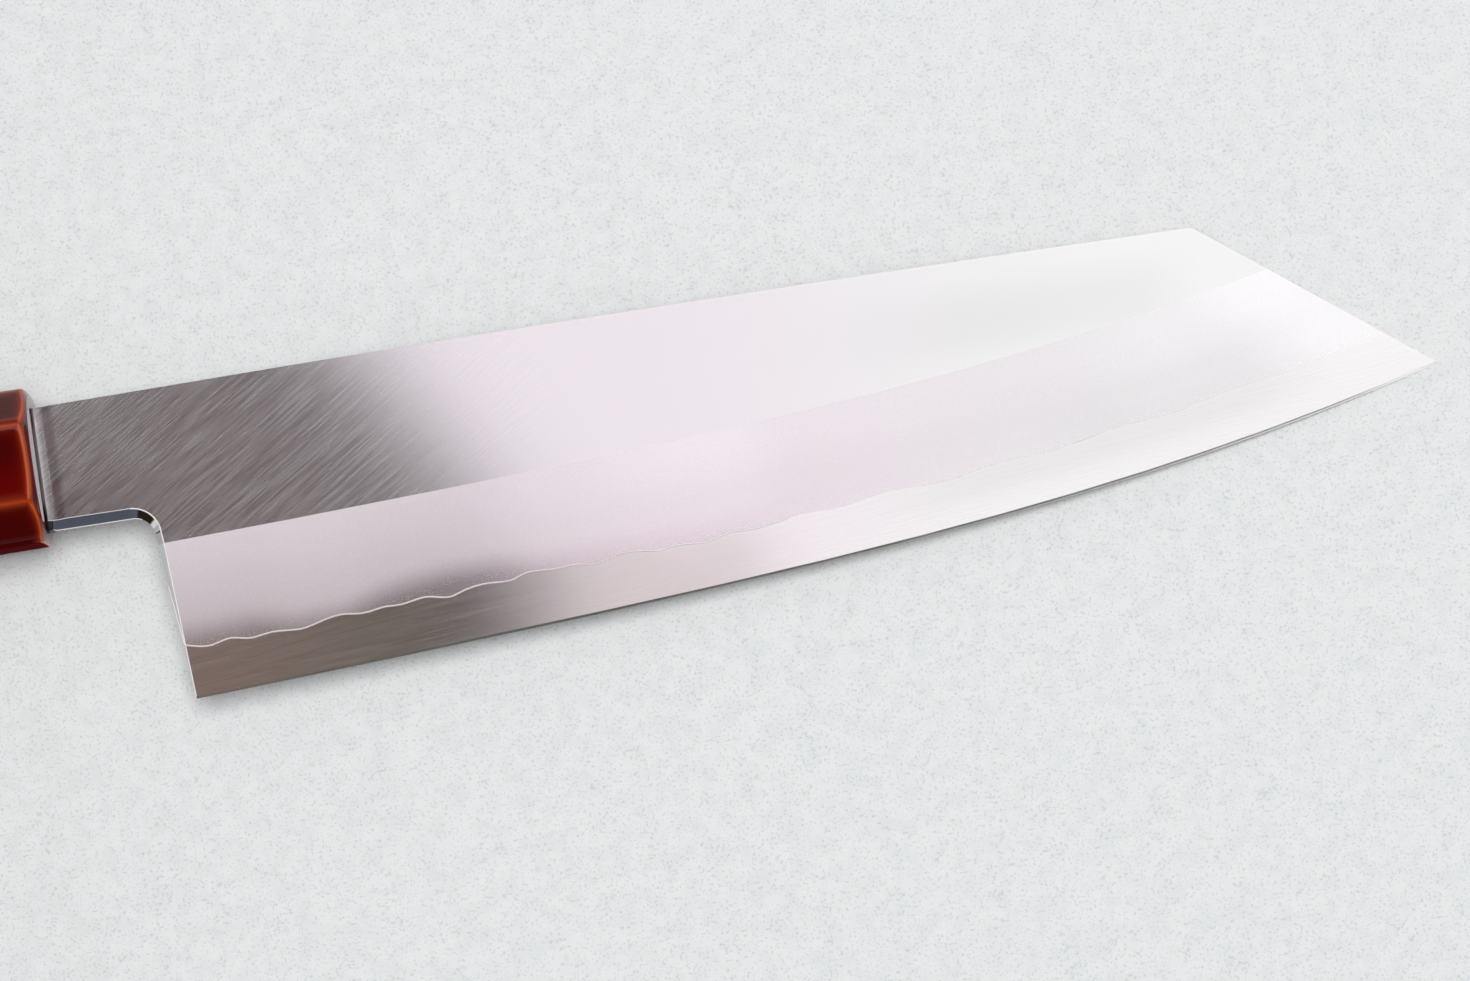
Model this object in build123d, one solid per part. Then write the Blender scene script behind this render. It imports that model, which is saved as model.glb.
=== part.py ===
from build123d import *
import math
import os

# Kitchen knife with a clipped tip, lying on its side: a laminated, wedge-ground blade
# whose hidden tang is bedded in a lacquered eight-sided wooden handle.
# Millimetres. +X runs from the handle to the tip, +Y to the spine and +Z out of the right face.
# Sizes are taken from the handle's axis and its front face. At the end all pieces are moved
# together, so that the origin is the bottom centre of the whole knife.

# Blade outline, seen from the right face
neck_top = 8.2
crown_top = 9.1
corner_top = 8.8
neck_bottom = 9.25
choil_setout = 14.6
choil_radius = 3.0
heel_setout = 17.2
heel_drop = 35.7
edge_run = 179.0
tip_drop = 15.3
clip_run = 31.2
corner_radius = 1.2
crown_place_share = 0.5
edge_straight_share = 0.47
belly_power = 3.7

# Blade thickness and grind
neck_thickness = 3.2
corner_thickness = 1.9
bevel_width = 22.25
bevel_waist = 0.8
edge_bevel_width = 0.35
edge_bevel_thickness = 0.2
neck_hollow_width = 2.6
neck_hollow_depth = 0.06
choil_bevel = 1.3
heel_bevel = 0.9
heel_bevel_end = 0.09

# Lamination: the jackets stop above the edge, on an uneven forged line. Its points are shares
# of the cutting edge from the heel, and of the wave in height.
core_thickness_share = 0.3
jacket_stop = 7.1
jacket_wave = 0.8
wave_shares = [
    (-0.028, 0.6), (0, 0.56), (0.009, 0), (0.018, -0.2), (0.033, 0.35), (0.047, -0.3),
    (0.056, -0.3), (0.064, -0.1), (0.071, -0.15), (0.08, -0.4), (0.09, -0.6), (0.104, -0.05),
    (0.115, 0.38), (0.124, 0.4), (0.134, 0), (0.143, -0.1), (0.158, 0.2), (0.167, 0),
    (0.191, 0.35), (0.205, -0.4), (0.211, -0.38), (0.218, 0.05), (0.23, 0.5), (0.239, 0.5),
    (0.249, 0.25), (0.258, 0.2), (0.269, 0.88), (0.282, 0.75), (0.296, 0.5), (0.311, 0.45),
    (0.32, 0), (0.33, 0), (0.34, 0.55), (0.354, 0.6), (0.365, 0.2), (0.374, -0.25),
    (0.387, -0.05), (0.397, -0.2), (0.411, -0.55), (0.42, -0.35), (0.435, 0.12), (0.446, -0.2),
    (0.457, -0.25), (0.475, 0.1), (0.49, 0.3), (0.505, 0.05), (0.52, -0.2), (0.54, 0.15),
    (0.556, 0.45), (0.575, 0.2), (0.59, -0.15), (0.61, -0.35), (0.63, 0), (0.65, 0.3),
    (0.667, 0.1), (0.69, -0.3), (0.71, -0.1), (0.73, 0.25), (0.75, 0.35), (0.77, 0),
    (0.79, -0.25), (0.815, 0.05), (0.84, 0.3), (0.865, 0.1), (0.89, -0.2), (0.92, 0.05),
    (0.95, -0.1), (0.98, 0), (1.03, 0),
]

# Tang
shoulder_gap = 0.3
shoulder_radius = 1.0
tang_length = 85.0
tang_height = 11.0
tang_end_height = 5.0
tang_end_thickness = 2.0
tang_end_radius = 1.8

# Handle
handle_length = 130.0
front_height = 21.5
front_thickness = 18.3
front_top_flat = 11.1
front_side_flat = 8.6
butt_growth = 3.0
end_face_thickness = 16.8
end_face_height = 20.8
nose_depth = 2.4
nose_width = 2.9
nose_bulge = 0.2
ferrule_length = 27.0
spigot_length = 20.0
spigot_diameter = 15.0
spigot_clearance = 0.05

# Lacquer coats, and the bedding round the tang
top_coat = 0.2
base_coat = 0.2
bedding_gap = 0.6
bedding_past_tang = 2.0
mouth_clearance = 0.25
mouth_depth = 1.5

# Cutting bodies run past what they cut by this much
overrun = 5.0

tip_x = heel_setout + edge_run
corner_x = tip_x - clip_run
heel_lean_share = (heel_setout - choil_setout) / (heel_drop - neck_bottom)
full_width = heel_drop + crown_top + overrun
lacquer = top_coat + base_coat


def edge_height(x):
    """Height of the cutting edge at x: straight at the heel, with a belly towards the tip."""
    share = (x - heel_setout) / edge_run
    belly = max(share, 0) ** belly_power
    rise = edge_straight_share * share + (1 - edge_straight_share) * belly
    return -heel_drop + (heel_drop - tip_drop) * rise


def half_thickness(x):
    """Half of the blade's thickness above the bevels at x, thinning towards the tip."""
    return (neck_thickness + (corner_thickness - neck_thickness) * x / corner_x) / 2


def blade_section(x):
    """The ground section at x: two wide bevels and two narrow ones at the edge. The wide ones
    go on above the spine, and the taper in thickness then cuts the flats into them."""
    edge = edge_height(x)
    run_share = (x - heel_setout) / edge_run
    wide = bevel_width - bevel_waist * 4 * run_share * (1 - run_share)
    narrow = edge + edge_bevel_width
    narrow_half = edge_bevel_thickness / 2
    above_spine = crown_top + overrun
    slope_share = (half_thickness(x) - narrow_half) / (wide - edge_bevel_width)
    top_half = narrow_half + slope_share * (above_spine - narrow)
    points = [
        (above_spine, top_half),
        (narrow, narrow_half),
        (edge, 0),
        (narrow, -narrow_half),
        (above_spine, -top_half),
    ]
    return Plane.YZ.offset(x) * make_face(Polyline(*points, close=True))


def ground_bar():
    """A long bar that has the blade's grind, before its outline is cut."""
    station_shares = [0, 0.12, 0.25, 0.4, 0.53, 0.65, 0.76, 0.86, 0.94, 1]
    run = tip_x + 2 * overrun
    return loft([blade_section(run * share - overrun) for share in station_shares])


def blade_outline():
    """Spine, clipped tip, heel, choil and neck. The grind itself ends at the cutting edge."""
    corner = (corner_x, corner_top)
    clip_slope_share = (corner_top + tip_drop) / clip_run
    past_tip = (tip_x + overrun, -tip_drop - clip_slope_share * overrun)
    below = -heel_drop - overrun
    heel_low = (heel_setout + heel_lean_share * overrun, below)
    neck_back = (shoulder_gap, neck_top)
    neck_low = (shoulder_gap, -neck_bottom)
    choil_corner = (choil_setout, -neck_bottom)
    neck = FilletPolyline(
        neck_back, neck_low, choil_corner, heel_low, radius=[shoulder_radius, choil_radius]
    )
    underside = Polyline(heel_low, (past_tip[0], below), past_tip, corner)
    spine = ThreePointArc(corner, (corner_x * crown_place_share, crown_top), neck_back)
    outline = make_face([*neck.edges(), *underside.edges(), spine])
    clip_vertex = outline.vertices().sort_by_distance(corner)[0]
    return fillet(clip_vertex, corner_radius)


def edge_wedge(place, forward, height, size):
    """A three-cornered section that takes a bevel off an upper edge of the blade.

    The edge passes through place, height above the middle of the blade, and runs forward."""
    outward = forward.rotate(Axis.Z, -90)
    section = make_face(
        Polyline(
            (choil_bevel, height - size - choil_bevel),
            (choil_bevel, height + choil_bevel),
            (-size - choil_bevel, height + choil_bevel),
            close=True,
        )
    )
    return Plane(place, x_dir=outward, z_dir=-forward) * section


def choil_bevels():
    """The polished bevel under the neck, round the choil and down the heel, where it narrows
    as the blade gets thinner."""
    neck_forward = Vector(1, 0)
    heel_forward = Vector(heel_lean_share, -1).normalized()
    neck_start = Vector(-overrun, -neck_bottom)
    choil_corner = Vector(choil_setout, -neck_bottom)
    heel_end = choil_corner + heel_forward * (heel_drop - neck_bottom + overrun)
    path = FilletPolyline(neck_start, choil_corner, heel_end, radius=choil_radius)
    line, arc, _ = path.edges()
    half = half_thickness(choil_setout)
    start = edge_wedge(neck_start, neck_forward, half, choil_bevel)
    turn_shares = [0, 0.2, 0.4, 0.6, 0.8, 1]
    turn = loft([
        edge_wedge(arc @ share, arc % share, half, choil_bevel + (heel_bevel - choil_bevel) * share)
        for share in turn_shares
    ])
    arc_end = arc @ 1
    bevel_top_y = edge_height(choil_setout) + bevel_width
    bevel_top = arc_end + heel_forward * ((arc_end.Y - bevel_top_y) / -heel_forward.Y)
    heel_low = Vector(heel_setout, -heel_drop + edge_bevel_width)
    beside_flat = loft([
        edge_wedge(arc_end, heel_forward, half, heel_bevel),
        edge_wedge(bevel_top, heel_forward, half, heel_bevel),
    ])
    beside_grind = loft([
        edge_wedge(bevel_top, heel_forward, half, heel_bevel),
        edge_wedge(heel_low, heel_forward, edge_bevel_thickness / 2, heel_bevel_end),
    ])
    upper = [sweep(start, path=line), turn, beside_flat, beside_grind]
    return upper + [mirror(piece, about=Plane.XY) for piece in upper]


def neck_hollows():
    """The shallow hollow ground across each face of the neck beside the handle."""
    half_width = neck_hollow_width / 2
    radius = (half_width**2 + neck_hollow_depth**2) / (2 * neck_hollow_depth)
    middle_x = shoulder_gap + half_width
    wheel = Cylinder(radius, full_width, rotation=(90, 0, 0))
    lift = half_thickness(middle_x) + radius - neck_hollow_depth
    return [Pos(middle_x, 0, side * lift) * wheel for side in (1, -1)]


def thickness_wedge(share):
    """The blade and tang's taper in thickness, times share, as wide as the whole knife."""
    far_x = tip_x + overrun
    back_x = -tang_length - overrun
    back_half = (
        neck_thickness + (tang_end_thickness - neck_thickness) * -back_x / tang_length
    ) / 2
    upper = [(back_x, back_half), (0, half_thickness(0)), (far_x, half_thickness(far_x))]
    upper = [(x, z * share) for x, z in upper]
    lower = [(x, -z) for x, z in reversed(upper)]
    section = Plane.XZ * make_face(Polyline(*upper, *lower, close=True))
    return extrude(section, amount=full_width, both=True)


def tang_body():
    """The flat tang, tapering in height and thickness, with a rounded end."""
    front_x = shoulder_gap + shoulder_radius
    corners = [
        (front_x, tang_height / 2),
        (-tang_length, tang_end_height / 2),
        (-tang_length, -tang_end_height / 2),
        (front_x, -tang_height / 2),
    ]
    path = FilletPolyline(*corners, radius=tang_end_radius)
    side = make_face([*path.edges(), Line(corners[-1], corners[0])])
    return extrude(side, amount=overrun, both=True) & thickness_wedge(1)


def blade_body():
    """Blade, neck and tang as one forging."""
    blade = ground_bar() & extrude(blade_outline(), amount=overrun, both=True)
    blade = blade & thickness_wedge(1)
    blade = blade - choil_bevels() - neck_hollows()
    return blade + tang_body()


def bare_core_zone(side, shares):
    """Everything below the forged line on one side, where the jacket is ground away."""
    points = []
    for place_share, height_share in shares:
        x = heel_setout + edge_run * place_share
        points.append((x, edge_height(x) + jacket_stop + jacket_wave * height_share))
    below = -heel_drop - overrun
    line = Spline(*points)
    rest = Polyline(points[-1], (points[-1][0], below), (points[0][0], below), points[0])
    zone = make_face([line, *rest.edges()])
    return extrude(zone, amount=side * overrun)


def blade_pieces():
    """The hard core steel and the two soft steel jackets forged on to it."""
    body = blade_body()
    core_zone = thickness_wedge(core_thickness_share)
    right_bare = bare_core_zone(1, wave_shares)
    place_shares, height_shares = zip(*wave_shares)
    left_bare = bare_core_zone(-1, list(zip(place_shares, reversed(height_shares))))
    bare = core_zone + right_bare + left_bare
    core = body & bare
    jackets = body - bare
    upper = Pos(0, 0, overrun / 2) * Box(2 * full_width + 2 * edge_run, 2 * full_width, overrun)
    return {
        "core_steel": core,
        "cladding_right": jackets & upper,
        "cladding_left": jackets - upper,
    }


def facet_pair(angle, half_distance, inset):
    """A slab between two opposite facets, which lean outwards towards the butt."""
    front = half_distance - inset
    butt = front + butt_growth / 2
    upper = [(0, front), (-handle_length, butt)]
    lower = [(x, -height) for x, height in reversed(upper)]
    side = make_face(Polyline(*upper, *lower, close=True))
    return Rot(angle, 0, 0) * extrude(side, amount=front_height, both=True)


def end_rounding(inset):
    """A long oval body that takes the corners off both ends of the handle."""
    front = -inset
    back = inset - handle_length
    face_radius = end_face_thickness / 2 - inset
    butt_radius = face_radius + butt_growth / 2
    rim = (front - nose_depth, face_radius + nose_width)
    butt_rim = (back + nose_depth, butt_radius + nose_width)
    outline = [
        Line((front, 0), (front, face_radius)),
        SagittaArc((front, face_radius), rim, -nose_bulge),
        Line(rim, butt_rim),
        SagittaArc(butt_rim, (back, butt_radius), -nose_bulge),
        Line((back, butt_radius), (back, 0)),
        Line((back, 0), (front, 0)),
    ]
    body = revolve(make_face(outline), axis=Axis.X)
    return scale(body, by=(1, end_face_height / end_face_thickness, 1))


def handle_form(inset):
    """The handle's outer form, set in from the lacquer's surface on every side: two tall
    facets, two wide ones and four slanting ones between them, with both ends rounded."""
    slant_y = (front_height - front_top_flat) / 2
    slant_z = (front_thickness - front_side_flat) / 2
    slant = math.atan2(slant_y, slant_z)
    slant_distance = (
        front_top_flat / 2 * math.cos(slant) + front_thickness / 2 * math.sin(slant)
    )
    body = facet_pair(0, front_height / 2, inset) & facet_pair(90, front_thickness / 2, inset)
    for angle in (math.degrees(slant), -math.degrees(slant)):
        body = body & facet_pair(angle, slant_distance, inset)
    return body & end_rounding(inset)


def tang_space(front_x, gap):
    """The tapered hole round the tang from front_x inwards, a gap wider on every side."""
    end_x = -tang_length - bedding_past_tang

    def opening(x):
        share = -x / tang_length
        height = tang_height + (tang_end_height - tang_height) * share + 2 * gap
        thick = neck_thickness + (tang_end_thickness - neck_thickness) * share + 2 * gap
        return Plane.YZ.offset(x) * Rectangle(height, thick)

    return loft([opening(front_x), opening(end_x)])


def handle_pieces():
    """Wooden body, front ferrule, bedding and the two coats of lacquer."""
    outer = handle_form(0)
    middle = handle_form(top_coat)
    inner = handle_form(lacquer)
    mouth_height = tang_height + 2 * mouth_clearance
    mouth_thickness = neck_thickness + 2 * mouth_clearance
    mouth = Box(2 * mouth_depth, mouth_height, mouth_thickness)
    cavity = tang_space(-mouth_depth, bedding_gap)
    joint_x = -ferrule_length
    front_half = Pos(joint_x + front_height, 0, 0) * Box(2 * front_height, full_width, full_width)
    axis_out = (0, 90, 0)
    lowest = (Align.CENTER, Align.CENTER, Align.MIN)
    spigot = Pos(joint_x, 0, 0) * Cylinder(
        spigot_diameter / 2, spigot_length, rotation=axis_out, align=lowest
    )
    bore = Pos(joint_x, 0, 0) * Cylinder(
        spigot_diameter / 2 + spigot_clearance,
        spigot_length + spigot_clearance,
        rotation=axis_out,
        align=lowest,
    )
    return {
        "lacquer_top": outer - middle - mouth,
        "lacquer_base": middle - inner - mouth,
        "ferrule": (inner & front_half) - bore - mouth - cavity,
        "handle_core": (inner - front_half) + spigot - cavity,
        "tang_bedding": cavity - tang_body(),
    }


pieces = {**blade_pieces(), **handle_pieces()}
box = Compound(children=[piece.solids()[0] for piece in pieces.values()]).bounding_box()
origin = Pos(-box.center().X, -box.center().Y, -box.min.Z)
os.makedirs("parts", exist_ok=True)
for name, piece in pieces.items():
    export_step(origin * piece, f"parts/{name}.step")
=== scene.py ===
import math

import bpy
from mathutils import Matrix, Vector


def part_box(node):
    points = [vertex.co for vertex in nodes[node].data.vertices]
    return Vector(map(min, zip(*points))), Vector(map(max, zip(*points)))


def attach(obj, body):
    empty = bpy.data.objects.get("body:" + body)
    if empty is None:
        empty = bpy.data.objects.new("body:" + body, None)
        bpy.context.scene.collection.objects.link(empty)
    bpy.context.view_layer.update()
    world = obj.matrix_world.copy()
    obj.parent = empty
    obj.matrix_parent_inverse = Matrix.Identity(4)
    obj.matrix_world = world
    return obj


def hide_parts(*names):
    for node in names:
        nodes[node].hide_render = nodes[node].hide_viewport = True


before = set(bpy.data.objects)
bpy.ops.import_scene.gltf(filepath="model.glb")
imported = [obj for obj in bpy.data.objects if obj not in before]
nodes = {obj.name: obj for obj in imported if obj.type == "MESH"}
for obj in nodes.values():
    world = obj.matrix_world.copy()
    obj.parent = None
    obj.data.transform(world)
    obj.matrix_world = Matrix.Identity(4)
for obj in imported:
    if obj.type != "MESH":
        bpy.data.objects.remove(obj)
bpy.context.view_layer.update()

scene = bpy.context.scene
scene.view_settings.view_transform = "Standard"
print("frame loaded:", sorted(nodes))

# everything is measured from the middle of the handle's front, in metres
handleLow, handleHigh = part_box("lacquer_top")
bladeLow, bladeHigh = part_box("core_steel")
frontX = handleHigh.x
axisY = (handleLow.y + handleHigh.y) / 2
axisZ = (handleLow.z + handleHigh.z) / 2
tipX = bladeHigh.x
frontMiddle = Vector((frontX, axisY, axisZ))
smoothBelow = math.radians(40)                       # edges that bend more stay sharp


def selectOnly(item):
    bpy.ops.object.select_all(action="DESELECT")
    item.select_set(True)
    bpy.context.view_layer.objects.active = item


photoCamera = {
    "fromFront": (0.1002, -0.13205, 0.9036),
    "elevation": 82.81, "roll": -10.75, "yaw": 2.07,
    "lens": 159.18, "sensor": 36, "sees": 20,
}


def placeCamera(setup):
    tilt, roll, yaw = (math.radians(setup[key]) for key in ("elevation", "roll", "yaw"))
    look = Matrix.Rotation(yaw, 3, "Z") @ Vector((0, math.cos(tilt), -math.sin(tilt)))
    right = Matrix.Rotation(yaw, 3, "Z") @ Vector((1, 0, 0))
    up = right.cross(look)
    turn = Matrix.Rotation(roll, 3, -look)
    right, up = turn @ right, turn @ up
    bpy.ops.object.camera_add()
    camera = bpy.context.object
    camera.name = "camera"
    camera.data.sensor_width = setup["sensor"]
    camera.data.lens = setup["lens"]
    camera.data.clip_end = setup["sees"]
    turned = Matrix((right, up, -look)).transposed().to_4x4()
    place = Vector(setup["fromFront"]) + frontMiddle
    camera.matrix_world = Matrix.Translation(place) @ turned
    scene.camera = camera


placeCamera(photoCamera)
print("camera placed")

nodeGrid = {"across": 180, "down": 260, "inRow": 10}   # how nodes are laid out in the editor


def addNode(tree, kind, **settings):
    row, column = divmod(len(tree.nodes), nodeGrid["inRow"])
    node = tree.nodes.new(kind)
    node.location = (column * nodeGrid["across"], -row * nodeGrid["down"])
    for name, value in settings.items():
        setattr(node, name, value)
    return node


# a link to the input, or a plain value in it
def feed(tree, socket, value):
    if isinstance(value, bpy.types.NodeSocket):
        tree.links.new(value, socket)
    elif socket.type == "RGBA":
        socket.default_value = (*value, 1)
    else:
        socket.default_value = value


def newMaterial(name, kind="ShaderNodeBsdfPrincipled"):
    material = bpy.data.materials.new(name)
    material.use_nodes = True
    tree = material.node_tree
    tree.nodes.clear()
    output = addNode(tree, "ShaderNodeOutputMaterial")
    shader = addNode(tree, kind)
    tree.links.new(shader.outputs[0], output.inputs["Surface"])
    return material, tree, shader


def plainMaterial(name, colour, roughness):
    material, tree, shader = newMaterial(name)
    feed(tree, shader.inputs["Base Color"], colour)
    feed(tree, shader.inputs["Roughness"], roughness)
    return material


def separate(tree, socket):
    node = addNode(tree, "ShaderNodeSeparateXYZ")
    feed(tree, node.inputs[0], socket)
    return node.outputs


def calculate(tree, operation, first, second=None, clamp=False):
    node = addNode(tree, "ShaderNodeMath", operation=operation, use_clamp=clamp)
    feed(tree, node.inputs[0], first)
    if second is not None:
        feed(tree, node.inputs[1], second)
    return node.outputs[0]


def product(tree, first, *others):
    for other in others:
        first = calculate(tree, "MULTIPLY", first, other)
    return first


def total(tree, first, *others):
    for other in others:
        first = calculate(tree, "ADD", first, other)
    return first


# along the blade, up towards the spine and out of the visible face, all from the handle's front
def fromFront(tree, place):
    point = separate(tree, place)
    return [calculate(tree, "SUBTRACT", point[axis], middle) for axis, middle in zip("XYZ", frontMiddle)]


def ramp(tree, value, limits, start=0.0, end=1.0, course="SMOOTHSTEP"):
    node = addNode(tree, "ShaderNodeMapRange", interpolation_type=course)
    feed(tree, node.inputs["Value"], value)
    for name, number in zip(("From Min", "From Max", "To Min", "To Max"), (*limits, start, end)):
        feed(tree, node.inputs[name], number)
    return node.outputs["Result"]


def mix(tree, factor, first, second, kind, slots, **settings):
    node = addNode(tree, "ShaderNodeMix", data_type=kind, **settings)
    for slot, value in zip(slots, (factor, first, second)):
        feed(tree, node.inputs[slot], value)
    return node


def blend(tree, factor, first, second):
    return mix(tree, factor, first, second, "FLOAT", (0, 2, 3)).outputs[0]


def mixColours(tree, factor, first, second, way="MIX"):
    return mix(tree, factor, first, second, "RGBA", (0, 6, 7), blend_type=way).outputs[2]


# the colour made lighter or darker by a share
def toned(tree, colour, change):
    level = calculate(tree, "ADD", change, 1.0)
    grey = addNode(tree, "ShaderNodeCombineColor")
    for channel in range(3):
        feed(tree, grey.inputs[channel], level)
    return mixColours(tree, 1.0, colour, grey.outputs[0], "MULTIPLY")


def noise(tree, place, scale, detail):
    node = addNode(tree, "ShaderNodeTexNoise")
    for name, value in (("Vector", place), ("Scale", scale), ("Detail", detail)):
        feed(tree, node.inputs[name], value)
    return node.outputs["Fac"]


# coordinates drawn out into streaks, turned from the spine by some degrees
def streaks(tree, place, turn, streakLength, width):
    node = addNode(tree, "ShaderNodeMapping", vector_type="TEXTURE")
    feed(tree, node.inputs["Vector"], place)
    feed(tree, node.inputs["Rotation"], (0, 0, math.radians(turn)))
    feed(tree, node.inputs["Scale"], (streakLength, width, width))
    return node.outputs[0]


# a change that begins over one stretch of each measure and ends over another, where it has them
def patch(tree, measures, settings):
    slopes = []
    for name, (rise, fall) in settings["where"].items():
        if rise:
            slopes.append(ramp(tree, measures[name], rise))
        if fall:
            slopes.append(ramp(tree, measures[name], fall, 1, 0))
    return product(tree, *slopes, settings["change"])


def patches(tree, measures, wanted):
    return total(tree, *(patch(tree, measures, settings) for settings in wanted))


room = {
    "daylight": (0.97, 0.98, 1.0), "daylightLevel": 0.32,      # evens out matt surfaces
    "backdrop": (0.80, 0.81, 0.82),
    # what shiny surfaces mirror, and where one part gives way to the next
    "ceiling": (0.052, 0.016, 0.018), "ceilingStarts": (0.1, 0.45),
    "ceilingFront": (0.055, 0.062, 0.043), "frontEnds": (-0.03, 0.09),
    "ceilingLeft": (0.205, 0.13, 0.098), "leftEnds": (-0.095, -0.02),
    "farWall": (0.85, 0.84, 0.83), "window": (0.105, 0.123, 0.165), "cupboard": (0.028, 0.016, 0.011),
    "windowStarts": (-0.47, -0.42), "windowTop": (0.1385, 0.1425), "nearWallEnds": (-0.42, -0.34),
}


def dressRoom(settings):
    world = bpy.data.worlds.new("studio")
    world.use_nodes = True
    scene.world = world
    tree = world.node_tree
    direction = separate(tree, addNode(tree, "ShaderNodeTexCoord").outputs["Generated"])
    toTheRight = ramp(tree, direction["X"], settings["windowStarts"])
    nearWall = mixColours(tree, toTheRight, settings["cupboard"], settings["window"])
    aboveWindow = ramp(tree, direction["Z"], settings["windowTop"])
    nearWall = mixColours(tree, aboveWindow, nearWall, settings["cupboard"])
    farSide = ramp(tree, direction["Y"], settings["nearWallEnds"])
    walls = mixColours(tree, farSide, nearWall, settings["farWall"])
    toTheLeft = ramp(tree, direction["X"], settings["leftEnds"], 1, 0)
    front = mixColours(tree, toTheLeft, settings["ceilingFront"], settings["ceilingLeft"])
    toTheBack = ramp(tree, direction["Y"], settings["frontEnds"])
    ceiling = mixColours(tree, toTheBack, front, settings["ceiling"])
    mirrored = mixColours(tree, ramp(tree, direction["Z"], settings["ceilingStarts"]), walls, ceiling)
    rays = addNode(tree, "ShaderNodeLightPath").outputs
    fill = [channel * settings["daylightLevel"] for channel in settings["daylight"]]
    seen = mixColours(tree, rays["Is Glossy Ray"], fill, mirrored)
    seen = mixColours(tree, rays["Is Camera Ray"], seen, settings["backdrop"])
    feed(tree, tree.nodes["Background"].inputs["Color"], seen)


dressRoom(room)

keyLight = {
    "towards": (0.04, 0.03, 1.0), "distance": 1.3,   # a broad lamp above, a little behind
    "size": 0.74, "power": 12.0,
}


def hangKeyLight(settings):
    bpy.ops.object.light_add(type="AREA")
    lamp = bpy.context.object
    lamp.name = "key_light"
    lamp.data.shape = "DISK"
    lamp.data.size = settings["size"]
    lamp.data.energy = settings["power"]
    towards = Vector(settings["towards"]).normalized()
    lamp.location = towards * settings["distance"]
    lamp.rotation_euler = towards.to_track_quat("Z", "Y").to_euler()
    lamp.visible_camera = lamp.visible_glossy = False


hangKeyLight(keyLight)

softbox = {
    "height": 0.6,                                   # above the blade, out of the picture
    "outline": ((0.030, -0.3), (0.75, -0.3), (0.75, 0.62), (-0.336, 0.62), (0.030, 0.052)),
    "left": 0.042, "slantFrom": 0.052, "slant": 0.64,          # its left side, slanting away further back
    "sideFade": (-0.012, 0.026), "fringe": (0.06, 0.045, 0.045),
    "pink": (1.07, 0.977, 1.06), "white": (1.105, 1.11, 1.11), "pinkEnds": (0.080, 0.165),
    "brightest": (1.175, 1.18, 1.18), "whiteEnds": (0.150, 0.200), "brightDepth": (0, 0.05),
    "dim": (0.79, 0.70, 0.715), "dimEnds": (0.098, 0.110), "dimDepth": (-0.024, -0.008),
}


def hangSoftbox(settings):
    bpy.ops.mesh.primitive_circle_add(vertices=len(settings["outline"]), fill_type="NGON")
    panel = bpy.context.object
    panel.name = "softbox"
    for vertex, (x, y) in zip(panel.data.vertices, settings["outline"]):
        vertex.co = (frontX + x, axisY + y, axisZ + settings["height"])
    material, tree, glow = newMaterial("softbox_cloth", "ShaderNodeEmission")
    along, up, out = fromFront(tree, addNode(tree, "ShaderNodeTexCoord").outputs["Object"])
    cloth = mixColours(tree, ramp(tree, along, settings["pinkEnds"]), settings["pink"], settings["white"])
    palest = product(tree, ramp(tree, along, settings["whiteEnds"]),
                     ramp(tree, up, settings["brightDepth"]))
    cloth = mixColours(tree, palest, cloth, settings["brightest"])
    dimmed = product(tree, ramp(tree, along, settings["dimEnds"], 1, 0),
                     ramp(tree, up, settings["dimDepth"], 1, 0))
    cloth = mixColours(tree, dimmed, cloth, settings["dim"])
    back = calculate(tree, "MAXIMUM", calculate(tree, "SUBTRACT", up, settings["slantFrom"]), 0.0)
    inside = total(tree, product(tree, back, settings["slant"]),
                   calculate(tree, "SUBTRACT", along, settings["left"]))
    lit = ramp(tree, inside, settings["sideFade"])
    feed(tree, glow.inputs["Color"], mixColours(tree, lit, settings["fringe"], cloth))
    panel.data.materials.append(material)
    panel.visible_camera = panel.visible_diffuse = panel.visible_shadow = False


hangSoftbox(softbox)

table = {
    "size": 6.0,
    "colour": (0.825, 0.838, 0.838), "fleck": (0.54, 0.58, 0.57), "roughness": 0.6,
    "grain": {"scale": 2700, "detail": 4, "limits": (0.52, 0.70), "strength": 0.62},
    "mottle": {"scale": 420, "detail": 3, "limits": (0.35, 0.7), "strength": 0.15},
    "restX": -0.0012, "restZ": -0.00942,             # the handle's lower front rim rests there
}


def layTable(settings):
    restX, restZ = frontX + settings["restX"], axisZ + settings["restZ"]
    slope = math.atan2(axisZ - restZ, tipX - restX)  # the tip touches the table too
    bpy.ops.mesh.primitive_plane_add(size=settings["size"])
    board = bpy.context.object
    board.name = "table"
    board.rotation_euler = (0, -slope, 0)
    board.location = (restX, axisY, restZ)
    bpy.ops.object.transform_apply()
    material, tree, shader = newMaterial("table_top")
    place = addNode(tree, "ShaderNodeTexCoord").outputs["Object"]
    flecks = total(tree, *(ramp(tree, noise(tree, place, kind["scale"], kind["detail"]), kind["limits"],
                                0, kind["strength"]) for kind in (settings["grain"], settings["mottle"])))
    feed(tree, shader.inputs["Base Color"], mixColours(tree, flecks, settings["colour"], settings["fleck"]))
    feed(tree, shader.inputs["Roughness"], settings["roughness"])
    board.data.materials.append(material)


layTable(table)

# painted shade: a dark red card that the handle's side mirrors, unseen itself, standing in for the shadowed
# table beside the handle
shade = {
    "colour": (0.080, 0.009, 0.011),
    "low": (-0.16, -0.30), "high": (-0.0008, -0.0109), "lift": 0.0004,
}


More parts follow.
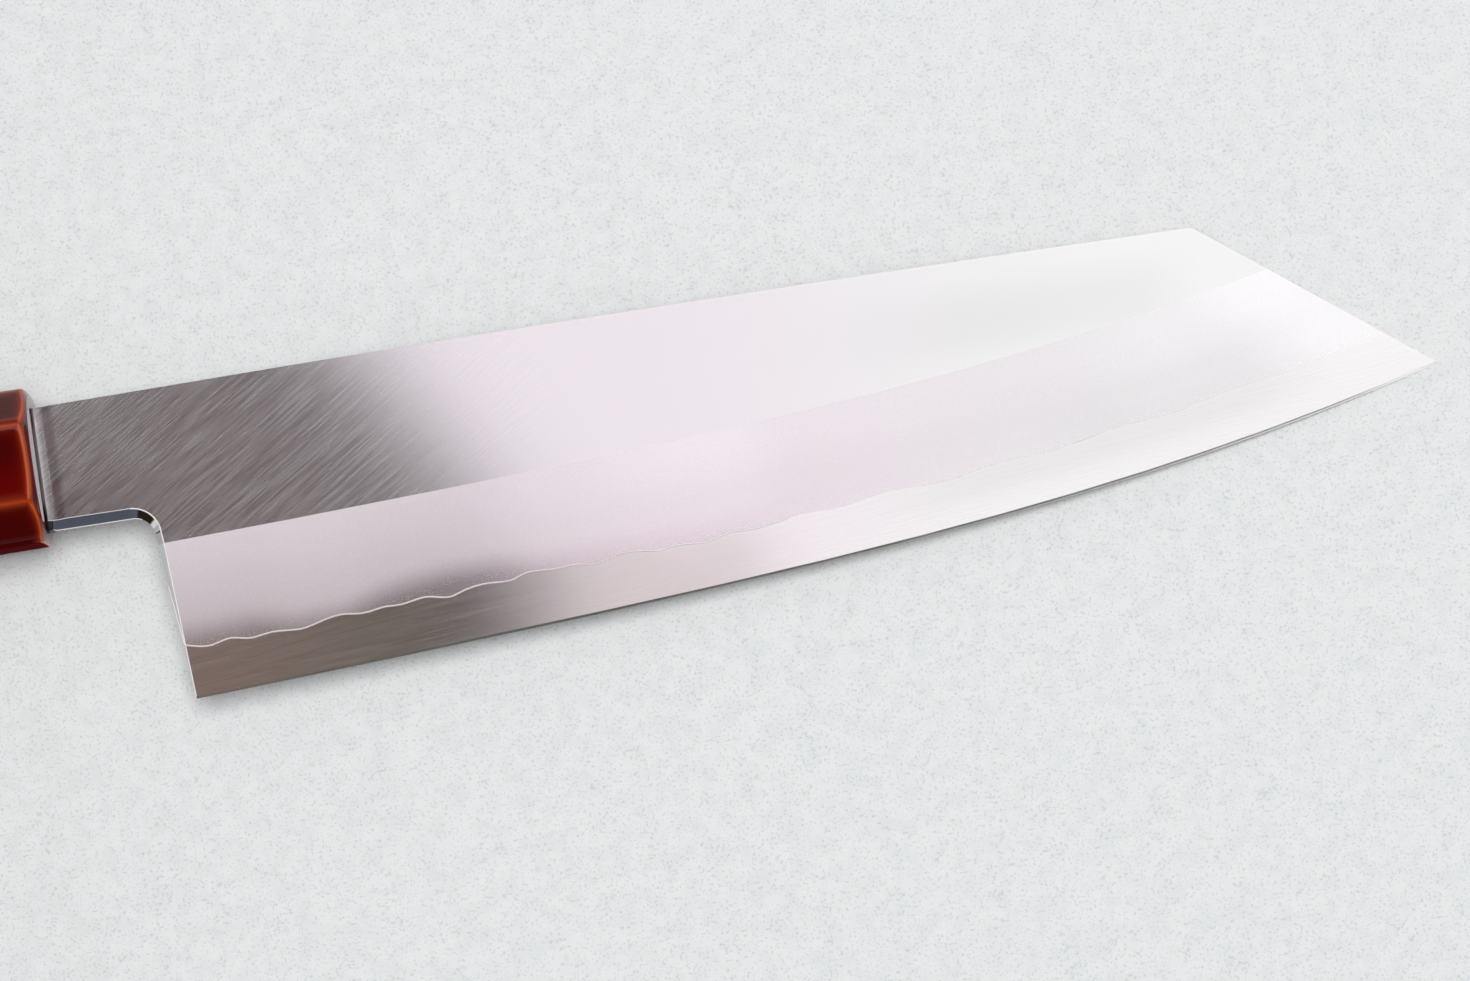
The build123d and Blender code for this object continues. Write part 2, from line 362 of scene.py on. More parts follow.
# it lies just above the table and slopes as the table does
def layShade(settings):
    level = axisZ + table["restZ"] + settings["lift"]
    slope = (axisZ - level) / (tipX - frontX)
    bpy.ops.mesh.primitive_plane_add()
    card = bpy.context.object
    card.name = "shade_card"
    for vertex in card.data.vertices:
        x = settings["high" if vertex.co.x > 0 else "low"][0]
        y = settings["high" if vertex.co.y > 0 else "low"][1]
        vertex.co = (frontX + x, axisY + y, level + x * slope)
    material, tree, glow = newMaterial("shade_cloth", "ShaderNodeEmission")
    feed(tree, glow.inputs["Color"], settings["colour"])
    card.data.materials.append(material)
    card.visible_camera = card.visible_diffuse = card.visible_shadow = False


layShade(shade)
print("room, lamps and table made")

blade = {
    "neckHalf": 0.0016, "edgeHalf": 0.0001,          # half its thickness at the handle and at the edge
    "thinning": 0.00394,                             # how much the first falls per metre
    "facing": (0.86, 0.97),                          # how far a normal points out of a face
    "bevelTilt": (0.012, 0.028),                     # and how far it leans where the bevel is
    "polish": 0.05,                                  # roughness of the narrow edges
}


def isFacing(tree, normal):
    return ramp(tree, calculate(tree, "ABSOLUTE", normal["Z"]), blade["facing"])


# where a point of the blade lies: height is 0 at the cutting edge and 1 at the bevel's top
def bladeZones(tree):
    coordinates = addNode(tree, "ShaderNodeTexCoord").outputs
    normal = separate(tree, coordinates["Normal"])
    along, up, out = fromFront(tree, coordinates["Object"])
    onFace = isFacing(tree, normal)
    tilt = calculate(tree, "MULTIPLY", normal["Y"], -1.0)
    rise = calculate(tree, "SUBTRACT", calculate(tree, "ABSOLUTE", out), blade["edgeHalf"])
    bevelRise = total(tree, product(tree, along, -blade["thinning"]), blade["neckHalf"] - blade["edgeHalf"])
    return {
        "place": coordinates["Object"], "along": along, "up": up,
        "height": calculate(tree, "DIVIDE", rise, bevelRise),
        "onFace": onFace, "onBevel": product(tree, ramp(tree, tilt, blade["bevelTilt"]), onFace),
    }


flat = {
    "colour": (0.80, 0.79, 0.795), "scratch": (0.805, 0.790, 0.799),
    "roughness": 0.088, "scratchRoughness": 0.10,
    "sheen": 0.866, "scratchSheen": 0.551,           # how metallic it is between the hairlines and in them
    "turn": 33,                                      # degrees of the hairlines from the spine
    "grain": {"long": 0.006, "wide": 0.00020, "detail": 2, "limits": (0.34, 0.66), "strength": 0.40},
    "needles": ({"turn": 1, "long": 0.024, "wide": 0.00075, "strength": 0.08},
                {"turn": -2, "long": 0.012, "wide": 0.00060, "strength": 0.06}),
    "needleEdge": (0.04, 0.15),
    "even": 0.21, "evensOut": (0.048, 0.080), "leftUneven": 0.12,      # glare evens them out
    # painted highlight and then painted shade, where the ground hollow at the handle mirrors more light
    # first and then less
    "hollow": ({"where": {"along": (None, (0.0004, 0.0016))}, "change": -0.23},
               {"where": {"along": ((0.0012, 0.0018), (0.0022, 0.0033))}, "change": 0.075}),
    # painted shade: near the handle its lower part is a little darker than its upper part
    "lowerPart": (-0.009, 0.001), "lowerChange": (0.04, -0.03), "lowerEnds": (0.006, 0.022),
    # painted shade: in the glare a band between spine and bevel is painted darker
    "paintedTones": ({"where": {"up": ((-0.0075, -0.0005), (0.001, 0.0085)),
                         "along": ((0.100, 0.142), (0.155, 0.167))}, "change": -0.075},),
}


def hairlines(tree, zones):
    place = zones["place"]
    grain = flat["grain"]
    fine = noise(tree, streaks(tree, place, flat["turn"], grain["long"], grain["wide"]), 1, grain["detail"])
    fine = ramp(tree, fine, grain["limits"], 0, grain["strength"])
    deeper = []
    for needle in flat["needles"]:
        cells = addNode(tree, "ShaderNodeTexVoronoi", voronoi_dimensions="2D")
        drawnOut = streaks(tree, place, flat["turn"] + needle["turn"], needle["long"], needle["wide"])
        feed(tree, cells.inputs["Vector"], drawnOut)
        feed(tree, cells.inputs["Scale"], 1)
        deeper.append(ramp(tree, cells.outputs["Distance"], flat["needleEdge"], needle["strength"], 0))
    lines = calculate(tree, "ADD", calculate(tree, "MAXIMUM", *deeper), fine, clamp=True)
    uneven = ramp(tree, zones["along"], flat["evensOut"], 1, flat["leftUneven"])
    return blend(tree, uneven, flat["even"], lines)


def flatFinish(tree, zones):
    lines = hairlines(tree, zones)
    roughness = ramp(tree, lines, (0, 1), flat["roughness"], flat["scratchRoughness"])
    lower = product(tree, ramp(tree, zones["up"], flat["lowerPart"], *flat["lowerChange"]),
                    ramp(tree, zones["along"], flat["lowerEnds"], 1, 0))
    hollow = total(tree, patches(tree, zones, flat["hollow"]), lower)
    sheen = blend(tree, lines, flat["sheen"], flat["scratchSheen"])
    sheen = calculate(tree, "ADD", sheen, hollow, clamp=True)
    colour = mixColours(tree, lines, flat["colour"], flat["scratch"])
    return roughness, sheen, toned(tree, colour, patches(tree, zones, flat["paintedTones"]))


bevel = {
    "colour": (0.79, 0.713, 0.762), "farColour": (0.765, 0.745, 0.76), "farStarts": (0.08, 0.17),
    "hazeStarts": (0.285, 0.53),                     # heights between which it gets hazy
    "roughness": 0.09, "hazyRoughness": 0.16,
    "sheen": 0.78, "hazySheen": 0.37, "topSheen": 0.12, "fadeFrom": 0.50,
    "frost": {"scale": 6000, "detail": 2, "strength": 0.006},
    "specks": {"scale": 4500, "detail": 2, "strength": 0.025},
    "speckLimits": (0.3, 0.7),
    # the haze starts higher in one place and lower in another
    "waves": ({"where": {"along": ((0.041, 0.056), (0.060, 0.070))}, "change": 0.055},
              {"where": {"along": ((0.026, 0.034), (0.038, 0.046))}, "change": -0.06}),
    # painted shade: darker near the heel and again beyond the middle
    "paintedShade": ({"where": {"along": (None, (0.056, 0.070))}, "change": -0.075},
             {"where": {"along": ((0.094, 0.106), (0.140, 0.160))}, "change": -0.06}),
    # painted light: in the glare its top, its foot and the tip are painted lighter, and its lower middle
    # darker
    "paintedTones": ({"where": {"height": ((0.55, 0.95), None), "along": ((0.070, 0.090), None)}, "change": 0.065},
              {"where": {"outwards": ((8.85, 9.6), None)}, "change": 0.12},
              {"where": {"height": (None, (0.30, 0.50)), "along": ((0.095, 0.105), (0.143, 0.155))},
               "change": 0.035},
              {"where": {"height": ((0.20, 0.35), (0.50, 0.70)), "along": ((0.135, 0.150), (0.167, 0.178))},
               "change": -0.04}),
    "outwardsPerMetre": 50.0,                        # the tip's tone starts along a slanting line
}


def speckle(tree, place, kind):
    spots = noise(tree, place, kind["scale"], kind["detail"])
    return ramp(tree, spots, bevel["speckLimits"], -kind["strength"], kind["strength"])


def bevelFinish(tree, zones):
    height = calculate(tree, "SUBTRACT", zones["height"], patches(tree, zones, bevel["waves"]))
    roughness = ramp(tree, height, bevel["hazeStarts"], bevel["roughness"], bevel["hazyRoughness"])
    roughness = total(tree, roughness, speckle(tree, zones["place"], bevel["frost"]))
    sheen = ramp(tree, height, bevel["hazeStarts"], bevel["sheen"], bevel["hazySheen"])
    fading = ramp(tree, height, (bevel["fadeFrom"], 1), 0, bevel["topSheen"] - bevel["hazySheen"], "LINEAR")
    sheen = total(tree, sheen, fading, speckle(tree, zones["place"], bevel["specks"]))
    outwards = total(tree, product(tree, zones["along"], bevel["outwardsPerMetre"]), zones["height"])
    paintedTones = patches(tree, {**zones, "outwards": outwards}, bevel["paintedTones"])
    far = ramp(tree, zones["along"], bevel["farStarts"])
    colour = mixColours(tree, far, bevel["colour"], bevel["farColour"])
    colour = toned(tree, colour, patches(tree, zones, bevel["paintedShade"]))
    return roughness, sheen, toned(tree, colour, paintedTones)


cladding = {
    "polished": (0.72, 0.72, 0.73),                  # the spine and the other narrow edges
    "line": (0.76, 0.69, 0.685), "faintLine": (0.87, 0.85, 0.87), "lineFades": (0.060, 0.100),
    "lineRoughness": 0.4,
}


def claddingMaterial():
    material, tree, shader = newMaterial("cladding_steel")
    zones = bladeZones(tree)
    onFace, onBevel = zones["onFace"], zones["onBevel"]
    flatRoughness, flatSheen, flatColour = flatFinish(tree, zones)
    bevelRoughness, bevelSheen, bevelColour = bevelFinish(tree, zones)
    onLine = addNode(tree, "ShaderNodeAttribute", attribute_name="brightLine").outputs["Fac"]
    roughness = blend(tree, onFace, blade["polish"], blend(tree, onBevel, flatRoughness, bevelRoughness))
    feed(tree, shader.inputs["Roughness"], blend(tree, onLine, roughness, cladding["lineRoughness"]))
    metal = blend(tree, onFace, 1.0, blend(tree, onBevel, flatSheen, bevelSheen))
    feed(tree, shader.inputs["Metallic"], blend(tree, onLine, metal, 0.0))
    colour = mixColours(tree, onBevel, flatColour, bevelColour)
    colour = mixColours(tree, onFace, cladding["polished"], colour)
    faint = ramp(tree, zones["along"], cladding["lineFades"])
    line = mixColours(tree, faint, cladding["line"], cladding["faintLine"])
    feed(tree, shader.inputs["Base Color"], mixColours(tree, onLine, colour, line))
    return material


def dress(names, material):
    for name in names:
        nodes[name].data.materials.clear()
        nodes[name].data.materials.append(material)


claddingSteel = claddingMaterial()
dress(["cladding_right", "cladding_left"], claddingSteel)

core = {
    "colour": (0.82, 0.80, 0.805),
    "roughness": 0.075, "linedRoughness": 0.095, "sheen": 0.95, "linedSheen": 0.89,
    "turn": 6,                                       # degrees of its lines from the spine
    "lines": ({"long": 0.007, "wide": 0.00010, "detail": 3, "limits": (0.3, 0.7), "strength": 0.7},
              {"long": 0.02, "wide": 0.0008, "detail": 3, "limits": (0.4, 0.75), "strength": 0.3}),
    # painted shade: far out, where the glare swallows the forged line, its top is painted darker
    "paintedTones": ({"where": {"height": ((0.03, 0.24), None), "along": ((0.108, 0.134), (0.168, 0.184))},
               "change": -0.085},),
}


def coreMaterial():
    material, tree, shader = newMaterial("core_steel")
    zones = bladeZones(tree)
    layers = []
    for kind in core["lines"]:
        drawnOut = streaks(tree, zones["place"], core["turn"], kind["long"], kind["wide"])
        lines = noise(tree, drawnOut, 1, kind["detail"])
        layers.append(ramp(tree, lines, kind["limits"], 0, kind["strength"]))
    lined = total(tree, *layers)
    roughness = ramp(tree, lined, (0, 1), core["roughness"], core["linedRoughness"])
    feed(tree, shader.inputs["Roughness"], blend(tree, zones["onFace"], blade["polish"], roughness))
    sheen = ramp(tree, lined, (0, 1), core["sheen"], core["linedSheen"])
    feed(tree, shader.inputs["Metallic"], blend(tree, zones["onFace"], 1.0, sheen))
    colour = toned(tree, core["colour"], patches(tree, zones, core["paintedTones"]))
    feed(tree, shader.inputs["Base Color"], colour)
    return material


dress(["core_steel"], coreMaterial())
print("blade dressed")

# painted highlights: near-white beads standing in for the light that the eased heel and choil edges catch
shine = {"colour": (0.93, 0.89, 0.87), "roughness": 0.4}   # broken edges that catch the light
paintedEdgeHighlight = plainMaterial("painted_edge_highlight", shine["colour"], shine["roughness"])


def below(limit):
    return -math.inf, limit


def above(limit):
    return limit, math.inf


# fine bright beads on a node's edges, the forged line and painted highlights along the neck, heel and choil:
# where an edge lies, and how the normals of its two faces point, upper being the one that points further out
# of the visible face
beadLines = {
    "forged_line": {
        "node": "cladding_right", "radius": 0.00013, "material": claddingSteel,
        "edges": {"along": (0.0165, 0.102), "up": below(-0.009),       # further out it is lost in the glare
                  "upperZ": above(0.95), "lowerZ": below(0.5), "lowerX": above(-0.8)},
    },
    "neck_line": {
        "node": "cladding_right", "radius": 0.00006, "material": claddingSteel,
        "edges": {"along": below(0.0112), "up": below(-0.007),
                  "upperZ": above(0.95), "lowerZ": below(0.85), "lowerX": below(0.3)},
    },
    "heel_line": {
        "node": "cladding_right", "radius": 0.00010, "material": paintedEdgeHighlight,
        "edges": {"along": (0.0112, 0.0178), "up": below(-0.007),
                  "upperZ": above(0.95), "lowerZ": below(0.85), "lowerX": below(0.3)},
    },
    "heel_tip_line": {
        "node": "core_steel", "radius": 0.00008, "material": paintedEdgeHighlight,
        "edges": {"along": below(0.0178), "up": below(-0.020),
                  "upperZ": above(0.95), "lowerZ": below(0.85), "lowerX": below(-0.1)},
    },
    "choil_foot": {
        "node": "core_steel", "radius": 0.00006, "material": paintedEdgeHighlight,
        "edges": {"along": below(0.0132), "upperZ": (0.5, 0.85), "lowerZ": (-0.2, 0.2)},
    },
}
sameCorner = 2e-6                                    # corners of a node closer than this are one


def isWanted(edges, middle, normals):
    lower, upper = sorted(normals, key=lambda normal: normal.z)
    measures = {"along": middle.x, "up": middle.y, "upperZ": upper.z, "lowerZ": lower.z, "lowerX": lower.x}
    return all(low < measures[name] < high for name, (low, high) in edges.items())


# a merged copy of the node, with only the wanted edges selected
def pickEdges(node, edges):
    selectOnly(nodes[node])
    bpy.ops.object.duplicate()
    copy = bpy.context.object
    copy.parent = None
    copy.matrix_world = Matrix.Identity(4)
    copy.data = copy.data.copy()
    copy.data.materials.clear()
    bpy.ops.object.mode_set(mode="EDIT")
    bpy.ops.mesh.select_mode(type="EDGE")
    bpy.ops.mesh.select_all(action="SELECT")
    bpy.ops.mesh.remove_doubles(threshold=sameCorner)
    bpy.ops.mesh.select_all(action="DESELECT")
    bpy.ops.object.mode_set(mode="OBJECT")
    mesh = copy.data
    beside = {}
    for face in mesh.polygons:
        for key in face.edge_keys:
            beside.setdefault(key, []).append(face.normal)
    for edge in mesh.edges:
        normals = beside.get(tuple(sorted(edge.vertices)), [])
        start, end = (mesh.vertices[index].co for index in edge.vertices)
        edge.select = len(normals) == 2 and isWanted(edges, (start + end) / 2 - frontMiddle, normals)
    return copy


def beadAlong(name, settings):
    bead = pickEdges(settings["node"], settings["edges"])
    bead.name = name
    bpy.ops.object.mode_set(mode="EDIT")
    bpy.ops.mesh.select_all(action="INVERT")
    bpy.ops.mesh.delete(type="EDGE")
    bpy.ops.object.mode_set(mode="OBJECT")
    bpy.ops.object.convert(target="CURVE")
    bead.data.bevel_depth = settings["radius"]
    bead.data.bevel_resolution = 1
    bead.data.use_fill_caps = True
    bpy.ops.object.convert(target="MESH")
    bpy.ops.object.shade_smooth()
    bead = bpy.context.object
    for vertex in bead.data.vertices:
        vertex.co.y = max(vertex.co.y, bladeLow.y)   # the heel's bead stays above the edge's lowest point
    mark = bead.data.attributes.new("brightLine", "FLOAT", "POINT")
    mark.data.foreach_set("value", [1.0] * len(bead.data.vertices))
    bead.data.materials.append(settings["material"])
    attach(bead, "root")
    print(bead.name, len(bead.data.vertices), [round(size, 4) for size in bead.dimensions])


for name, settings in beadLines.items():
    beadAlong(name, settings)

handle = {
    "wideFlat": 0.0111, "sideFlat": 0.0086,          # widths of the facets at the front
    "growth": 0.0025,                                # how much the butt is taller than the front
    "turn": 1.6,                                     # degrees, at the front, and none at the butt
    "faceHigh": 0.0211, "faceThick": 0.0170, "squareness": 2.4,        # the flat oval end
    "noseDepth": 0.0021, "noseWidth": 0.0029,        # the cone between that end and the facets
    "noseBulge": 0.00012, "noseShare": 0.62,         # how far it bulges, and how much of it the facets leave
    "ridgeSoft": 0.0009, "rimSoft": 0.0007,          # roundings between the facets and towards the cone
    "edgeSoft": 0.0003, "edgeTurn": 50,              # and of the end face, which bends by so many degrees
    "edgeSteps": 5, "noseSteps": 22, "facetSteps": 20, "crowding": 0.7,   # crowding: more points at ridges
    "rowShares": (0.004, 0.01, 0.03, 0.1, 0.25, 0.5, 0.75, 0.9, 0.97, 0.99, 0.996),
    "clearOfNose": 0.02,                             # an oval so large that only the facets count
    "leastFacing": 0.3,                              # and of these only the ones that look this way
    "samePoint": 1e-6,                               # points of the shell closer than this are one
    "coat": 0.0002, "mouthDepth": 0.0015, "mouthHigh": 0.0115, "mouthThick": 0.0037,
}
length = handleHigh.x - handleLow.x
frontHigh = (handleHigh.y - handleLow.y - handle["growth"]) / 2
frontThick = (handleHigh.z - handleLow.z - handle["growth"]) / 2
slantAngle = math.atan2(frontHigh - handle["wideFlat"] / 2, frontThick - handle["sideFlat"] / 2)
frontSlant = handle["wideFlat"] / 2 * math.cos(slantAngle) + frontThick * math.sin(slantAngle)


# the smallest of the values, with the corners between them rounded
def softMin(values, softness):
    values = sorted(values)
    least = values[0]
    for value in values[1:]:
        gap = max(softness - (value - least), 0) / softness
        least -= gap * gap * softness / 4
    return least


def ringAngles():
    ridge = math.atan2(handle["sideFlat"] / 2, frontHigh)
    upper = math.atan2(frontThick, handle["wideFlat"] / 2)
    ridges = [ridge, upper, math.pi - upper, math.pi - ridge]
    ridges += [angle + math.pi for angle in ridges]
    ridges.append(ridge + 2 * math.pi)
    angles = []
    for first, second in zip(ridges, ridges[1:]):
        for step in range(handle["facetSteps"]):
            share = step / handle["facetSteps"]
            share -= handle["crowding"] * math.sin(2 * math.pi * share) / (2 * math.pi)
            angles.append(first + (second - first) * share)
    return angles


def surfaceRadius(depth, ovalHalf, angle):
    growth = handle["growth"] / 2 * depth / length
    facings = [(0, frontHigh), (slantAngle, frontSlant), (math.pi / 2, frontThick),
               (math.pi - slantAngle, frontSlant)]
    facings += [(facing + math.pi, distance) for facing, distance in facings]
    around = [(distance + growth) / math.cos(angle - facing) for facing, distance in facings
              if math.cos(angle - facing) > handle["leastFacing"]]
    ratio = handle["faceHigh"] / handle["faceThick"]
    power = handle["squareness"]
    oval = ovalHalf / (abs(math.cos(angle) / ratio) ** power + abs(math.sin(angle)) ** power) ** (1 / power)
    return softMin([softMin(around, handle["ridgeSoft"]), oval], handle["rimSoft"])


# depth behind the end face and the oval's half thickness, from that face on to the facets
def noseRows():
    rows = []
    soft = handle["edgeSoft"]
    for step in range(handle["edgeSteps"] + 1):
        turn = math.radians(handle["edgeTurn"]) * step / handle["edgeSteps"]
        rows.append((soft * (1 - math.cos(turn)), handle["faceThick"] / 2 - soft * (1 - math.sin(turn))))
    startDepth, startHalf = rows[-1]
    for step in range(1, handle["noseSteps"] + 1):
        share = step / handle["noseSteps"] * handle["noseShare"]
        bulge = handle["noseBulge"] * 4 * share * (1 - share)
        rows.append((startDepth + (handle["noseDepth"] - startDepth) * share - bulge,
                     startHalf + handle["noseWidth"] * share + bulge))
    return rows


# a grid wound round the handle's axis, closed along its seam and at both ends
def lacquerHandle():
    angles = ringAngles()
    nose = noseRows()
    noseEnd = nose[-1][0]
    rows = list(nose)
    rows += [(noseEnd + (length - 2 * noseEnd) * share, handle["clearOfNose"])
             for share in handle["rowShares"]]
    rows += [(length - depth, half + handle["growth"] / 2) for depth, half in reversed(nose)]
    bpy.ops.object.select_all(action="DESELECT")
    bpy.ops.mesh.primitive_grid_add(x_subdivisions=len(rows) - 1, y_subdivisions=len(angles), size=1)
    shell = bpy.context.object
    shell.name = "lacquer_top_coat"
    for vertex in shell.data.vertices:
        depth, ovalHalf = rows[round((vertex.co.x + 0.5) * (len(rows) - 1))]
        angle = angles[round((vertex.co.y + 0.5) * len(angles)) % len(angles)]
        radius = surfaceRadius(depth, ovalHalf, angle)
        turned = angle + math.radians(handle["turn"]) * (1 - depth / length)
        vertex.co = (frontX - depth, axisY + radius * math.cos(turned), axisZ + radius * math.sin(turned))
    bpy.ops.object.mode_set(mode="EDIT")
    bpy.ops.mesh.select_all(action="SELECT")
    bpy.ops.mesh.remove_doubles(threshold=handle["samePoint"])
    bpy.ops.mesh.select_all(action="DESELECT")
    bpy.ops.mesh.select_non_manifold()
    bpy.ops.mesh.edge_face_add()
    bpy.ops.mesh.select_all(action="SELECT")
    bpy.ops.mesh.normals_make_consistent(inside=False)
    bpy.ops.object.mode_set(mode="OBJECT")
    return shell


shell = lacquerHandle()
print("handle shell", len(shell.data.vertices), "points")

lacquer = {
    "deep": (0.060, 0.0009, 0.0011),
    "warm": (0.098, 0.0010, 0.0006), "warmEnds": (-0.0035, 0.002),     # the wide facet's lower part
    "glow": (0.32, 0.018, 0.003), "glowReach": 0.00055,        # redder near the ridges and rims
    "thin": (0.80, 0.150, 0.018), "thinReach": 0.00020,        # and orange on them, where the coat is thin
    "roughness": 0.035, "ior": 1.5,
    # the ridge along the lower side shows neither of the two
    "dark": {"where": {"up": (None, (-0.0098, -0.0080)), "depth": ((0.0008, 0.0022), None),
                       "out": ((-0.0035, -0.0005), None)}, "change": -1.0},
}


# how far a point lies below each facet and below the cone: the second smallest distance is 0 at a ridge
def belowSurfaces(tree, depth, high, thick):
    growth = product(tree, depth, handle["growth"] / 2 / length)
    slanted = total(tree, product(tree, high, math.cos(slantAngle)),
                    product(tree, thick, math.sin(slantAngle)))
    distances = [calculate(tree, "SUBTRACT", total(tree, growth, reach), size)
                 for size, reach in ((high, frontHigh), (thick, frontThick), (slanted, frontSlant))]
    power = handle["squareness"]
    flattened = product(tree, high, handle["faceThick"] / handle["faceHigh"])
    sides = [calculate(tree, "POWER", product(tree, side, 1000.0), power) for side in (flattened, thick)]
    oval = calculate(tree, "POWER", total(tree, *sides), 1 / power)
    oval = product(tree, oval, 0.001)                # the powers are taken in millimetres
    nearEnd = calculate(tree, "MINIMUM", depth, calculate(tree, "SUBTRACT", length, depth))
    slope = handle["noseWidth"] / handle["noseDepth"]
    atButt = product(tree, calculate(tree, "GREATER_THAN", depth, length / 2), handle["growth"] / 2)
    cone = total(tree, product(tree, nearEnd, slope), handle["faceThick"] / 2, atButt)
    belowCone = calculate(tree, "SUBTRACT", cone, oval)
    return distances + [product(tree, belowCone, math.cos(math.atan(slope)))]


def secondSmallest(tree, values):
    least, second = values[0], None
    for value in values[1:]:
        larger = calculate(tree, "MAXIMUM", least, value)
        second = larger if second is None else calculate(tree, "MINIMUM", second, larger)
        least = calculate(tree, "MINIMUM", least, value)
    return second


def lacquerMaterial(settings):
    material, tree, shader = newMaterial("lacquer_top")
    coordinates = addNode(tree, "ShaderNodeTexCoord").outputs
    along, up, out = fromFront(tree, coordinates["Object"])
    depth = product(tree, along, -1.0)
    turn = ramp(tree, depth, (0, length), math.radians(handle["turn"]), 0, "LINEAR")
    high = calculate(tree, "ABSOLUTE", total(tree, up, product(tree, out, turn)))
    thick = calculate(tree, "ABSOLUTE", calculate(tree, "SUBTRACT", out, product(tree, up, turn)))
    away = calculate(tree, "MAXIMUM", secondSmallest(tree, belowSurfaces(tree, depth, high, thick)), 0.0)
    shown = total(tree, patch(tree, {"up": up, "depth": depth, "out": out}, settings["dark"]), 1.0)
    steep = math.sin(math.pi / 4)                    # how steeply two facets meet
    thin, glow = (calculate(tree, "EXPONENT", product(tree, away, -1 / settings[reach] / steep))
                  for reach in ("thinReach", "glowReach"))
    thin, glow = product(tree, thin, shown), product(tree, glow, shown)
    warmth = product(tree, isFacing(tree, separate(tree, coordinates["Normal"])),
                     ramp(tree, up, settings["warmEnds"], 1, 0))
    colour = mixColours(tree, warmth, settings["deep"], settings["warm"])
    colour = mixColours(tree, glow, colour, settings["glow"])
    feed(tree, shader.inputs["Base Color"], mixColours(tree, thin, colour, settings["thin"]))
    feed(tree, shader.inputs["Roughness"], settings["roughness"])
    feed(tree, shader.inputs["IOR"], settings["ior"])
    return material


lacquerTop = lacquerMaterial(lacquer)
dress(["lacquer_top"], lacquerTop)
shell.data.materials.append(lacquerTop)


# leaves the coat's thickness, and cuts the mouth for the neck
def hollowOut(shell):
    selectOnly(shell)
    bpy.ops.object.modifier_add(type="SOLIDIFY")
    skin = shell.modifiers[-1]
    skin.thickness, skin.offset = handle["coat"], -1
    bpy.ops.object.modifier_apply(modifier=skin.name)
    bpy.ops.mesh.primitive_cube_add(size=1, location=frontMiddle)
    mouth = bpy.context.object
    mouth.scale = (2 * handle["mouthDepth"], handle["mouthHigh"], handle["mouthThick"])
    bpy.ops.object.transform_apply()
    selectOnly(shell)
    bpy.ops.object.modifier_add(type="BOOLEAN")
    cut = shell.modifiers[-1]
    cut.operation, cut.object, cut.solver = "DIFFERENCE", mouth, "EXACT"
    bpy.ops.object.modifier_apply(modifier=cut.name)
    bpy.data.objects.remove(mouth)
    bpy.ops.object.shade_smooth_by_angle(angle=smoothBelow)


hollowOut(shell)
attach(shell, "root")
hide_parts("lacquer_top")
print("handle lacquered", len(shell.data.vertices))

# what lies under the top coat: material, colour and roughness
hiddenPieces = {
    "lacquer_base": ("lacquer_base", (0.42, 0.04, 0.012), 0.3),
    "ferrule": ("ferrule_horn", (0.012, 0.010, 0.009), 0.35),
    "handle_core": ("handle_wood", (0.48, 0.33, 0.17), 0.6),
    "tang_bedding": ("bedding_resin", (0.012, 0.010, 0.009), 0.4),
}
for name, finish in hiddenPieces.items():
    dress([name], plainMaterial(*finish))
print("hidden pieces dressed")

# painted shadow round the neck where it enters the handle
paintedJointShadow = {
    "back": 0.00003, "front": 0.00029, "low": -0.0093, "high": 0.00825, "half": 0.00175,
    "cornerShadowFront": 0.00075, "cornerShadowTop": -0.0080,        # the painted shadow at the lower corner stands out further
    "soft": 0.00006, "softSteps": 2,
    # painted shadow, darkest at the bottom and paler towards the top
    "dark": (0.006, 0.004, 0.005), "pale": (0.16, 0.125, 0.14), "paleStarts": (-0.0072, -0.0045),
    "roughness": 0.4,
}


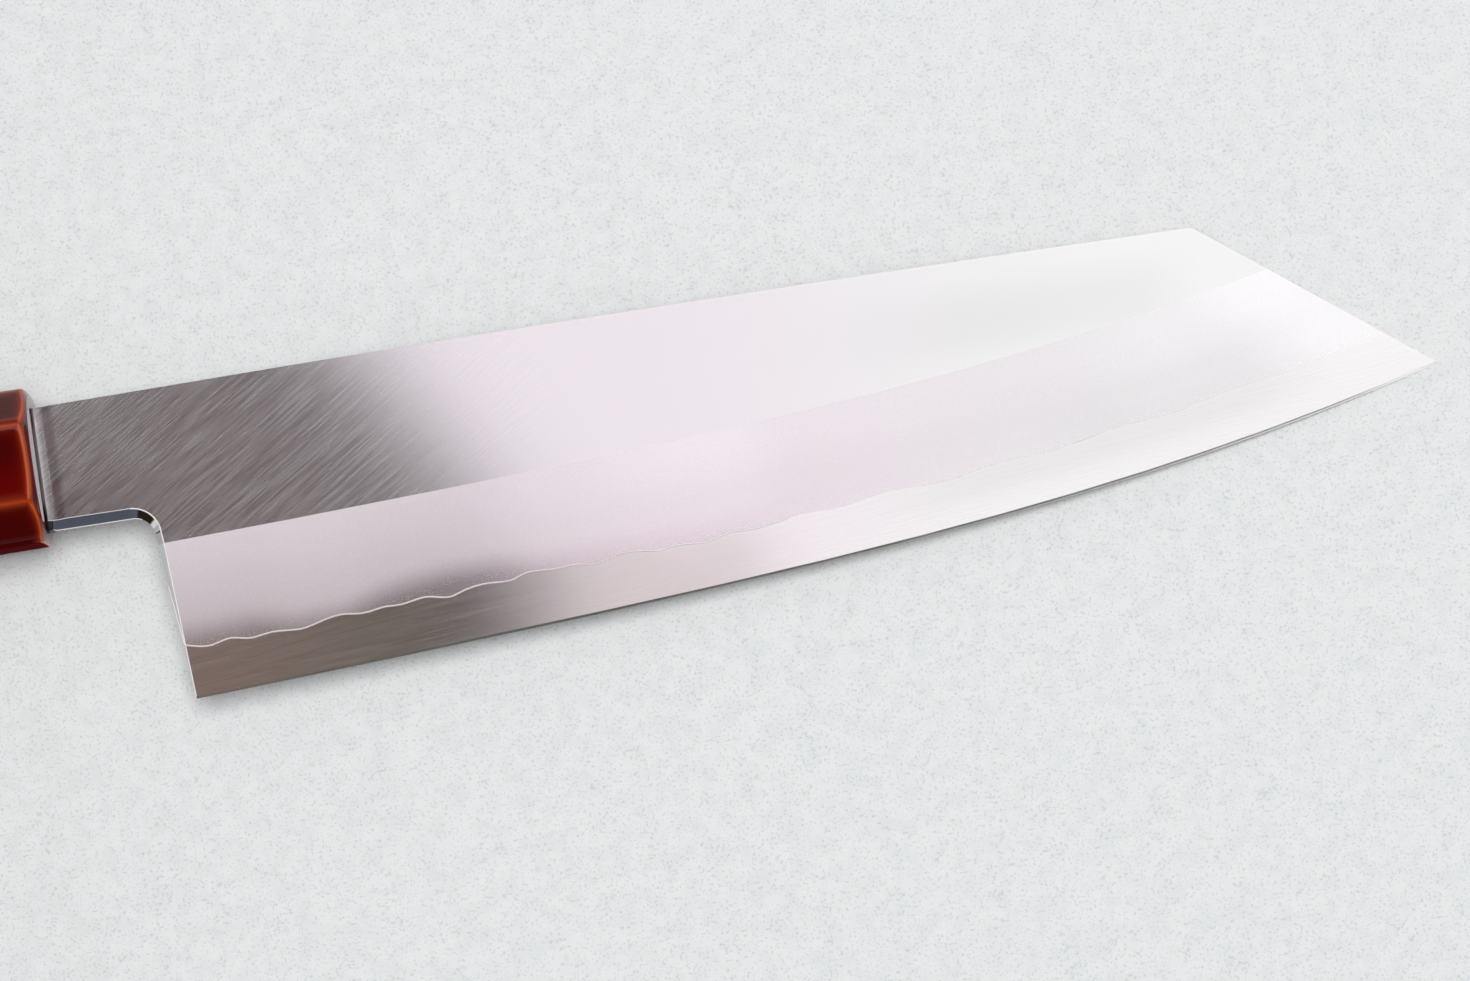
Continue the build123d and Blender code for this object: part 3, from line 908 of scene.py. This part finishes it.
def jointShadowMaterial(settings):
    material, tree, shader = newMaterial("joint_painted_shadow")
    along, up, out = fromFront(tree, addNode(tree, "ShaderNodeTexCoord").outputs["Object"])
    paler = ramp(tree, up, settings["paleStarts"])
    feed(tree, shader.inputs["Base Color"], mixColours(tree, paler, settings["dark"], settings["pale"]))
    feed(tree, shader.inputs["Roughness"], settings["roughness"])
    return material


# painted shadow: a dark strip round the neck at the handle's front, standing in for the shadowed gap where
# the neck enters the handle
def layJointShadow(settings):
    low = Vector((settings["back"], settings["low"], -settings["half"]))
    high = Vector((settings["front"], settings["high"], settings["half"]))
    bpy.ops.object.select_all(action="DESELECT")
    bpy.ops.mesh.primitive_cube_add(size=1, location=frontMiddle + (low + high) / 2)
    shadowStrip = bpy.context.object
    shadowStrip.name = "joint_painted_shadow"
    shadowStrip.scale = high - low
    bpy.ops.object.transform_apply()
    cornerShadowTop = axisY + settings["cornerShadowTop"]
    bpy.ops.object.mode_set(mode="EDIT")
    bpy.ops.mesh.select_all(action="SELECT")
    bpy.ops.mesh.bisect(plane_co=(frontX, cornerShadowTop, axisZ), plane_no=(0, 1, 0))
    bpy.ops.mesh.select_mode(type="FACE")
    bpy.ops.mesh.select_all(action="DESELECT")
    bpy.ops.object.mode_set(mode="OBJECT")
    for face in shadowStrip.data.polygons:
        face.select = face.normal.x > 0.9 and face.center.y < cornerShadowTop    # the front of the lower part
    bpy.ops.object.mode_set(mode="EDIT")
    reach = settings["cornerShadowFront"] - settings["front"]
    bpy.ops.mesh.extrude_region_move(TRANSFORM_OT_translate={"value": (reach, 0, 0)})
    bpy.ops.object.mode_set(mode="OBJECT")
    bpy.ops.object.modifier_add(type="BEVEL")
    rounding = shadowStrip.modifiers[-1]
    rounding.width, rounding.segments = settings["soft"], settings["softSteps"]
    bpy.ops.object.modifier_apply(modifier=rounding.name)
    bpy.ops.object.shade_smooth_by_angle(angle=smoothBelow)
    shadowStrip.data.materials.append(jointShadowMaterial(settings))
    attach(shadowStrip, "root")
    return shadowStrip


shadowStrip = layJointShadow(paintedJointShadow)
print("joint filled", len(shadowStrip.data.vertices), [round(size, 5) for size in shadowStrip.dimensions])
